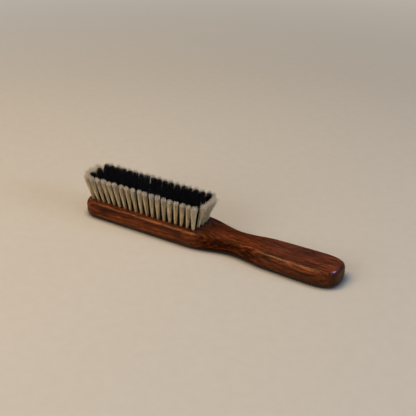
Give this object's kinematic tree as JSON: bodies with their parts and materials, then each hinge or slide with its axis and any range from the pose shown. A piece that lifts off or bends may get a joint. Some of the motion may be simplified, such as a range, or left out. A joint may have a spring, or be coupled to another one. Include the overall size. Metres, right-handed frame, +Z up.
{
  "type": "clothes brush",
  "caption": "Long-handled clothes brush: a one-piece wooden stock with a waisted neck and paddle grip, a rim of white bristle tufts around rows of black ones.",
  "frame": {"origin": "centre of the stock's footprint, on the flat back that the brush rests on with its bristles up", "axes": "+X from the toe to the end of the handle, +Y across the brush, +Z up, from the flat back towards the bristle tips"},
  "size_m": [0.2501, 0.0394, 0.0395],
  "materials": {
    "wood": "satin",
    "white_bristle": "matte",
    "black_bristle": "satin"
  },
  "bodies": {
    "root": {"black_tuft_row_1": "black_bristle", "black_tuft_row_2": "black_bristle", "black_tuft_row_3": "black_bristle", "black_tuft_row_4": "black_bristle", "black_tuft_row_5": "black_bristle", "white_tuft_back_01": "white_bristle", "white_tuft_back_02": "white_bristle", "white_tuft_back_03": "white_bristle", "white_tuft_back_04": "white_bristle", "white_tuft_back_05": "white_bristle", "white_tuft_back_06": "white_bristle", "white_tuft_back_07": "white_bristle", "white_tuft_back_08": "white_bristle", "white_tuft_back_09": "white_bristle", "white_tuft_back_10": "white_bristle", "white_tuft_back_11": "white_bristle", "white_tuft_back_12": "white_bristle", "white_tuft_back_13": "white_bristle", "white_tuft_back_14": "white_bristle", "white_tuft_back_15": "white_bristle", "white_tuft_back_16": "white_bristle", "white_tuft_back_17": "white_bristle", "white_tuft_back_18": "white_bristle", "white_tuft_back_19": "white_bristle", "white_tuft_front_01": "white_bristle", "white_tuft_front_02": "white_bristle", "white_tuft_front_03": "white_bristle", "white_tuft_front_04": "white_bristle", "white_tuft_front_05": "white_bristle", "white_tuft_front_06": "white_bristle", "white_tuft_front_07": "white_bristle", "white_tuft_front_08": "white_bristle", "white_tuft_front_09": "white_bristle", "white_tuft_front_10": "white_bristle", "white_tuft_front_11": "white_bristle", "white_tuft_front_12": "white_bristle", "white_tuft_front_13": "white_bristle", "white_tuft_front_14": "white_bristle", "white_tuft_front_15": "white_bristle", "white_tuft_front_16": "white_bristle", "white_tuft_front_17": "white_bristle", "white_tuft_front_18": "white_bristle", "white_tuft_front_19": "white_bristle", "white_tuft_neck_01": "white_bristle", "white_tuft_neck_02": "white_bristle", "white_tuft_neck_03": "white_bristle", "white_tuft_toe_01": "white_bristle", "white_tuft_toe_02": "white_bristle", "white_tuft_toe_03": "white_bristle", "wooden_stock": "wood"}
  },
  "joints": []
}
